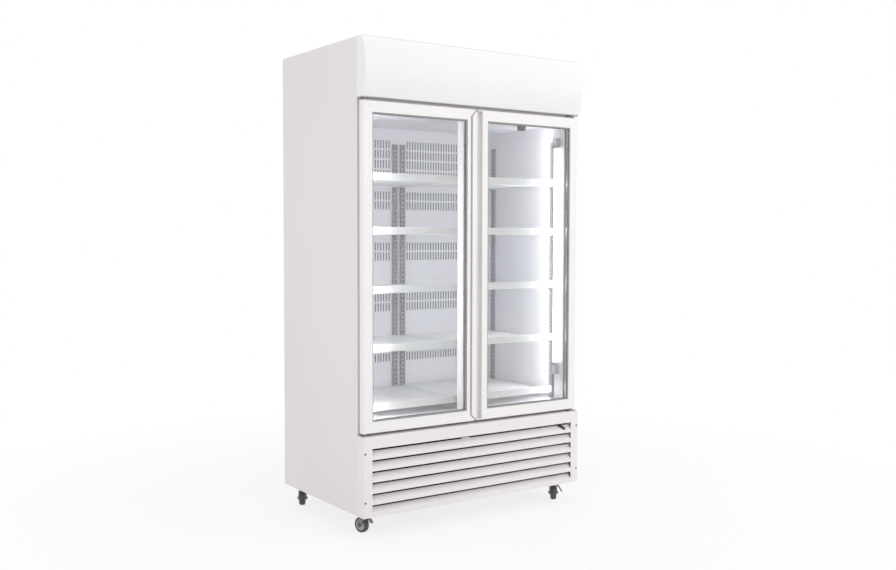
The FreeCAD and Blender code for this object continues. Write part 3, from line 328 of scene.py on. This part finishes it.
def newPiece(name, vertices, faces, finish, body, slot, smoothAngle=35):
    mesh = bpy.data.meshes.new(name)
    mesh.from_pydata([tuple(v) for v in vertices], [], faces)
    bm = bmesh.new()
    bm.from_mesh(mesh)
    bmesh.ops.remove_doubles(bm, verts=bm.verts, dist=1e-6)
    bmesh.ops.recalc_face_normals(bm, faces=bm.faces)
    bm.to_mesh(mesh)
    bm.free()
    piece = bpy.data.objects.new(name, mesh)
    bpy.context.scene.collection.objects.link(piece)
    mesh.materials.append(finishes[finish])
    mesh.shade_smooth()
    mesh.set_sharp_from_angle(angle=math.radians(smoothAngle))
    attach(piece, body)
    return piece


def loftRings(rings, closed):
    # faces between neighbouring rings of points; a closed loft joins the last ring to the first
    vertices = [point for ring in rings for point in ring]
    count = len(rings[0])
    faces = []
    for n in range(len(rings) if closed else len(rings) - 1):
        after = (n + 1) % len(rings)
        for k in range(count):
            nextK = (k + 1) % count
            faces.append([n * count + k, n * count + nextK, after * count + nextK, after * count + k])
    if not closed:
        faces += [list(range(count)), list(range((len(rings) - 1) * count, len(rings) * count))]
    return vertices, faces


def frameRing(profile, low, high):
    # a moulding of (inset, depth) points carried round a rectangle in the XZ plane with mitred corners
    rings = [[(x - inset * signX, y, z - inset * signZ) for inset, y in profile]
             for x, signX, z, signZ in ((low[0], -1, low[1], -1), (high[0], 1, low[1], -1),
                                        (high[0], 1, high[1], 1), (low[0], -1, high[1], 1))]
    return loftRings(rings, True)


def extrusion(profile, lowX, highX):
    # a bar of (y, z) section along X
    return loftRings([[(x, y, z) for y, z in profile] for x in (lowX, highX)], False)


def turned(profile, centre, axis, steps=48):
    # a closed (radius, height) outline turned about an axis
    turn = Vector((0, 0, 1)).rotation_difference(Vector(axis)).to_matrix()
    rings = []
    for n in range(steps):
        angle = 2 * math.pi * n / steps
        rings.append([Vector(centre) + turn @ Vector((r * math.cos(angle), r * math.sin(angle), h))
                      for r, h in profile])
    return loftRings(rings, True)


def merged(meshes):
    vertices, faces = [], []
    for someVertices, someFaces in meshes:
        start = len(vertices)
        vertices += someVertices
        faces += [[start + index for index in face] for face in someFaces]
    return vertices, faces


beadSizes = {"widthMm": 6, "heightMm": 3.4, "lipMm": 1.2, "gripMm": 7.5}


def makeGlazingBeads():
    # wedge rubber between each pane and its frame, front and back
    width, height, lip, grip = (beadSizes[key] * mm for key in ("widthMm", "heightMm", "lipMm", "gripMm"))
    for side in ("left", "right"):
        glassLow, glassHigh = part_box(f"{side}_glass")
        low = (glassLow[0] + grip, glassLow[2] + grip)
        high = (glassHigh[0] - grip, glassHigh[2] - grip)
        front, back = glassLow[1], glassHigh[1]
        rings = []
        for face, out in ((front, -1), (back, 1)):
            top = face + out * height
            profile = [(0, face), (width, face), (width - lip / 2, face + out * lip), (lip, top), (0, top)]
            rings.append(frameRing(profile, low, high))
        newPiece(f"{side}_glazing_beads", *merged(rings), "glazingRubber", f"{side}_door", "seal_rubber")


makeGlazingBeads()

# section of the seal as shares of its width and thickness
gasketSizes = {"widthMm": 20, "section": [
    (0.05, 0.0), (0.95, 0.0), (0.9, 0.22), (0.72, 0.3), (0.9, 0.46), (0.78, 0.62), (0.82, 1.0), (0.18, 1.0),
    (0.22, 0.62), (0.1, 0.46), (0.28, 0.3), (0.1, 0.22)]}


def makeGaskets():
    # bellows gasket: a dart strip on the door, two folds and the magnet pocket against the cabinet
    for side in ("left", "right"):
        name = f"{side}_gasket"
        low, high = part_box(name)
        width, thick = gasketSizes["widthMm"] * mm, high[1] - low[1]
        profile = [(width * across, low[1] + thick * deep) for across, deep in gasketSizes["section"]]
        piece = newPiece(f"{side}_door_gasket", *frameRing(profile, (low[0], low[2]), (high[0], high[2])),
                         "gasketVinyl", f"{side}_door", "seal_rubber")
        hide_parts(name)


makeGaskets()
print("door trim made")


stripSizes = {"lipMm": 1.6, "bellyMm": 0.5, "thickMm": 2.5, "heightMm": 30, "endMm": 8}


def makeTicketStrips():
    # extruded holder: a slightly bellied face between a rolled top and bottom lip, one on every shelf edge
    low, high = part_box("ticket_strips")
    lip, belly, thick, height, end = (stripSizes[key] * mm for key in
                                      ("lipMm", "bellyMm", "thickMm", "heightMm", "endMm"))
    front = low[1]
    shelves = ["floor_shelves"] + [f"shelf_level_{n}" for n in (4, 3, 2, 1)]
    bars = []
    for shelf in shelves:
        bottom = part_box(shelf)[0][2]
        top = bottom + height
        outline = [(front + thick, bottom), (front + thick, top), (front + lip / 2, top), (front, top - lip),
                   (front, top - 2 * lip), (front + belly, top - 2.4 * lip),
                   (front + belly / 3, bottom + height / 2), (front + belly, bottom + 2.4 * lip),
                   (front, bottom + 2 * lip), (front, bottom + lip), (front + lip / 2, bottom)]
        for lowX, highX in ((end, high[0]), (low[0], -end)):
            bars.append(extrusion(outline, lowX, highX))
    piece = newPiece("shelf_ticket_strips", *merged(bars), "extrudedPvc", "cabinet", "light_cover", 25)
    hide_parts("ticket_strips")


makeTicketStrips()
print("ticket strips made")


wheelSizes = {"radiusMm": 32, "halfWidthMm": 12, "hubMm": 22.5, "boreMm": 4.05, "bossMm": 8}


def makeWheels():
    radius, half, hub, bore, boss = (wheelSizes[key] * mm for key in
                                     ("radiusMm", "halfWidthMm", "hubMm", "boreMm", "bossMm"))
    treadHalf = [(hub, 0.92), (hub + 1.5 * mm, 1.0), (radius - 4 * mm, 0.98), (radius - 1.5 * mm, 0.84),
                 (radius - 0.4 * mm, 0.6), (radius, 0.3)]
    hubHalf = [(bore, 0.95), (boss, 0.95), (boss + 1 * mm, 0.88), (boss + 1.6 * mm, 0.5), (hub - 4 * mm, 0.45),
               (hub - 2.6 * mm, 0.86), (hub - 0.6 * mm, 0.9), (hub, 0.8)]
    for corner in corners:
        joint = joints[f"{corner}_wheel_roll"]
        body = joint["child"]
        for label, outline, finish, slot in (("tread", treadHalf, "castorTread", "castor_tread"),
                                             ("hub", hubHalf, "castorHub", "grey_plastic")):
            profile = [(r, half * share) for r, share in outline]
            profile += [(r, -half * share) for r, share in reversed(outline)]
            shape = turned(profile, joint["pos_m"], joint["axis"])
            piece = newPiece(f"{corner}_wheel_{label}", *shape, finish, body, slot)
            if label == "tread":
                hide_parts(f"{corner}_castor_wheel")


makeWheels()


def hexOutline(radius):
    angles = [math.radians(60 * n) for n in range(6)]
    return [(radius * math.cos(a), radius * math.sin(a)) for a in angles]


axleSizes = {"nutMm": 6.2, "nutThickMm": 4, "studMm": 3.6, "faceMm": 17.5}


def makeAxleNuts():
    # hexagon nut and stud end on each side of the fork
    nutRadius, thick, stud, face = (axleSizes[key] * mm for key in ("nutMm", "nutThickMm", "studMm", "faceMm"))
    for corner in corners:
        joint = joints[f"{corner}_wheel_roll"]
        axis, centre = Vector(joint["axis"]), Vector(joint["pos_m"])
        turn = Vector((0, 0, 1)).rotation_difference(axis).to_matrix()
        solids = []
        for side in (-1, 1):
            rings = []
            for share, height in ((1, 0), (1, 0.8), (0.86, 1)):
                rings.append([centre + turn @ Vector((x * share, y * share, side * (face + thick * height)))
                              for x, y in hexOutline(nutRadius)])
            solids.append(loftRings(rings, False))
            low = face + thick
            outline = [(0.2 * mm, side * low), (stud, side * low), (stud, side * (low + 1 * mm)),
                       (stud - 0.8 * mm, side * (low + 1.8 * mm)), (0.2 * mm, side * (low + 1.8 * mm))]
            solids.append(turned(outline, centre, axis, 24))
        newPiece(f"{corner}_axle_nuts", *merged(solids), "zincPlatedSteel", joint["parent"], "castor_steel", 25)


makeAxleNuts()
print("castors made")


screwSizes = {"radiusMm": 4.5, "domeMm": 1.5, "armMm": 2.2, "slotMm": 0.5, "recessMm": 0.9}
coverScrews = {"insetMm": 12, "perRow": 5}


def crossHead(centre, outward, sizes):
    # pan head with a cross recess
    radius, dome, arm, slot, recess = (sizes[key] * mm for key in
                                       ("radiusMm", "domeMm", "armMm", "slotMm", "recessMm"))
    turn = Vector((0, 0, 1)).rotation_difference(Vector(outward)).to_matrix()
    steps = 48

    def crossAt(angle):
        near = (angle + math.pi / 4) % (math.pi / 2) - math.pi / 4
        return min(arm / math.cos(near), slot / max(abs(math.sin(near)), 1e-3))

    levels = [(lambda a: radius, 0), (lambda a: radius, dome * 0.25), (lambda a: radius * 0.86, dome * 0.7),
              (lambda a: radius * 0.62, dome * 0.95), (crossAt, dome),
              (lambda a: crossAt(a) * 0.8, dome - recess)]
    rings = [[Vector(centre) + turn @ Vector((size(a) * math.cos(a), size(a) * math.sin(a), height))
              for a in (2 * math.pi * n / steps for n in range(steps))] for size, height in levels]
    return loftRings(rings, False)


def makeScrews():
    low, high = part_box("screws")
    reach = screwSizes["radiusMm"] * mm
    heads = [crossHead((x, high[1], z), (0, -1, 0), screwSizes)
             for x in (low[0] + reach, high[0] - reach) for z in (low[2] + reach, high[2] - reach)]
    piece = newPiece("grille_screws", *merged(heads), "zincPlatedSteel", "cabinet", "zinc_steel", 30)
    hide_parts("screws")
    coverLow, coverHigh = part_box("rear_cover")
    inset, count = coverScrews["insetMm"] * mm, coverScrews["perRow"]
    spots = [(coverLow[0] + inset + (coverHigh[0] - coverLow[0] - 2 * inset) * n / (count - 1), z)
             for n in range(count) for z in (coverLow[2] + inset, coverHigh[2] - inset)]
    heads = [crossHead((x, coverHigh[1], z), (0, 1, 0), screwSizes) for x, z in spots]
    newPiece("rear_cover_screws", *merged(heads), "zincPlatedSteel", "cabinet", "zinc_steel", 30)


makeScrews()
print("screws made")


capSizes = {"lengthMm": 16, "proudMm": 0.5, "rimMm": 1.5, "tubeMm": 10, "yMm": -258, "lowMm": 615,
            "topMm": 1617}


def makeLampCaps():
    # crimped aluminium cap on each end of the upright tubes
    proud, length, rim = (capSizes[key] * mm for key in ("proudMm", "lengthMm", "rimMm"))
    low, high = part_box("lamp_tubes")
    tubeRadius, y = capSizes["tubeMm"] * mm, capSizes["yMm"] * mm
    rings = []
    for x in (low[0] + tubeRadius, high[0] - tubeRadius):
        for start, way in ((capSizes["lowMm"] * mm, 1), (capSizes["topMm"] * mm, -1)):
            outline = [(tubeRadius + 0.05 * mm, 0), (tubeRadius + proud, 0), (tubeRadius + proud, length - rim),
                       (tubeRadius + 0.05 * mm, length)]
            rings.append(turned([(r, way * h) for r, h in outline], (x, y, start), (0, 0, 1), 40))
    newPiece("lamp_end_caps", *merged(rings), "spacerAluminium", "cabinet", "zinc_steel")


makeLampCaps()

probeSizes = {"xMm": 382, "yMm": -146, "widthMm": 30, "depthMm": 22, "dropMm": 20, "edgeMm": 3}


def makeThermostatProbe():
    # black clip under the ceiling panel that holds the thermostat's probe
    x, y, wide, deep, drop, edge = (probeSizes[key] * mm for key in
                                    ("xMm", "yMm", "widthMm", "depthMm", "dropMm", "edgeMm"))
    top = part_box("ceiling_panel")[0][2]
    rings = []
    for inset, height in ((0, 0), (0, edge - drop), (edge, -drop)):
        a, b = wide / 2 - inset, deep / 2 - inset
        rings.append([(x + p, y + q, top + height) for p, q in ((-a, -b), (a, -b), (a, b), (-a, b))])
    newPiece("probe_clip", *loftRings(rings, False), "blackNylon", "cabinet", "black_plastic")


makeThermostatProbe()


stageSizes = {"floorM": 40, "fadeStartM": 1.1, "fadeEndM": 2.6, "shadowShare": 0.2}


def makeFloor():
    half = stageSizes["floorM"] / 2
    mesh = bpy.data.meshes.new("studioFloor")
    ends = [(-half, -half, 0), (half, -half, 0), (half, half, 0), (-half, half, 0)]
    mesh.from_pydata(ends, [], [(0, 1, 2, 3)])
    floor = bpy.data.objects.new("studioFloor", mesh)
    bpy.context.scene.collection.objects.link(floor)
    material, tree, shader, out, place = newFinish("studioPaper", {
        "Base Color": toLinear("#F2F2F2"), "Roughness": 0.9, "Specular IOR Level": 0.1})
    white = addNode(tree, "ShaderNodeEmission", {"Color": (1, 1, 1, 1), "Strength": 1})
    path = addNode(tree, "ShaderNodeLightPath")
    distance = addNode(tree, "ShaderNodeVectorMath", {"operation": "LENGTH"}, {0: place}).outputs["Value"]
    away = spread(tree, distance, 1 - stageSizes["shadowShare"], 1,
                  stageSizes["fadeStartM"], stageSizes["fadeEndM"])
    seen = addNode(tree, "ShaderNodeMath", {"operation": "MAXIMUM"},
                   {0: path.outputs["Is Camera Ray"], 1: path.outputs["Is Transmission Ray"]})
    seen = addNode(tree, "ShaderNodeMath", {"operation": "MAXIMUM"},
                   {0: seen.outputs[0], 1: path.outputs["Is Glossy Ray"]})
    share = addNode(tree, "ShaderNodeMath", {"operation": "MULTIPLY"}, {0: away, 1: seen.outputs[0]})
    mix = addNode(tree, "ShaderNodeMixShader",
                  links={0: share.outputs[0], 1: shader.outputs[0], 2: white.outputs[0]})
    tree.links.new(mix.outputs[0], out.inputs["Surface"])
    mesh.materials.append(material)


makeFloor()

worldLook = {"ambient": 0.75, "seen": 1.0}


def makeWorld():
    world = bpy.data.worlds.new("studioWorld")
    bpy.context.scene.world = world
    world.use_nodes = True
    tree = world.node_tree
    tree.nodes.clear()
    path = addNode(tree, "ShaderNodeLightPath")
    seen = addNode(tree, "ShaderNodeMath", {"operation": "MAXIMUM"},
                   {0: path.outputs["Is Camera Ray"], 1: path.outputs["Is Glossy Ray"]})
    seen = addNode(tree, "ShaderNodeMath", {"operation": "MAXIMUM"},
                   {0: seen.outputs[0], 1: path.outputs["Is Transmission Ray"]})
    ambient = addNode(tree, "ShaderNodeBackground", {"Color": (1, 1, 1, 1), "Strength": worldLook["ambient"]})
    white = addNode(tree, "ShaderNodeBackground", {"Color": (1, 1, 1, 1), "Strength": worldLook["seen"]})
    mix = addNode(tree, "ShaderNodeMixShader",
                  links={0: seen.outputs[0], 1: ambient.outputs[0], 2: white.outputs[0]})
    addNode(tree, "ShaderNodeOutputWorld", links={"Surface": mix.outputs[0]})


makeWorld()

lamps = {
    "frontRight": {"at": (2.6, -4.4, 2.6), "sizeM": 2.6, "watts": 60},
    "leftFill": {"at": (-4.6, -1.4, 2.2), "sizeM": 2.6, "watts": 26},
    "overhead": {"at": (0.2, -0.6, 4.6), "sizeM": 3.0, "watts": 24},
}
# the tubes' own light, thrown into the cabinet from just in front of each tube
tubeLamps = {"sideM": 0.478, "yM": -0.25, "zM": 1.08, "lengthM": 1.2, "widthM": 0.02, "watts": 3.5}
aim = Vector((0, 0, 1.0))


def placeLamp(name, at, target, watts, size):
    light = bpy.data.lights.new(name, "AREA")
    light.shape = "RECTANGLE"
    light.size, light.size_y = size
    light.energy = watts
    holder = bpy.data.objects.new(name, light)
    holder.location = at
    holder.rotation_euler = (Vector(target) - Vector(at)).to_track_quat("-Z", "Y").to_euler()
    # no bright panels mirrored in the door glass
    holder.visible_camera = False
    holder.visible_glossy = False
    holder.visible_transmission = False
    bpy.context.scene.collection.objects.link(holder)


def makeLamps():
    for name, lamp in lamps.items():
        placeLamp(name, lamp["at"], aim, lamp["watts"], (lamp["sizeM"], lamp["sizeM"]))
    for side, sign in (("left", -1), ("right", 1)):
        at = (sign * tubeLamps["sideM"], tubeLamps["yM"], tubeLamps["zM"])
        size = (tubeLamps["widthM"], tubeLamps["lengthM"])
        placeLamp(f"{side}TubeLight", at, (0, 0.25, tubeLamps["zM"]), tubeLamps["watts"], size)


makeLamps()

cameraLook = {"at": (-2.5655, -3.8102, 1.2085), "tiltDeg": 87.215, "panDeg": -34.78, "rollDeg": 0.136,
              "lensMm": 41.16, "sensorMm": 36}


def makeCamera():
    data = bpy.data.cameras.new("camera")
    data.lens = cameraLook["lensMm"]
    data.sensor_width = cameraLook["sensorMm"]
    camera = bpy.data.objects.new("camera", data)
    pan = Matrix.Rotation(math.radians(cameraLook["panDeg"]), 4, "Z")
    tilt = Matrix.Rotation(math.radians(cameraLook["tiltDeg"]), 4, "X")
    roll = Matrix.Rotation(math.radians(cameraLook["rollDeg"]), 4, "Z")
    camera.matrix_world = Matrix.Translation(cameraLook["at"]) @ pan @ tilt @ roll
    bpy.context.scene.collection.objects.link(camera)
    bpy.context.scene.camera = camera


makeCamera()
bpy.context.scene.view_settings.view_transform = "Standard"

print("stage ready")
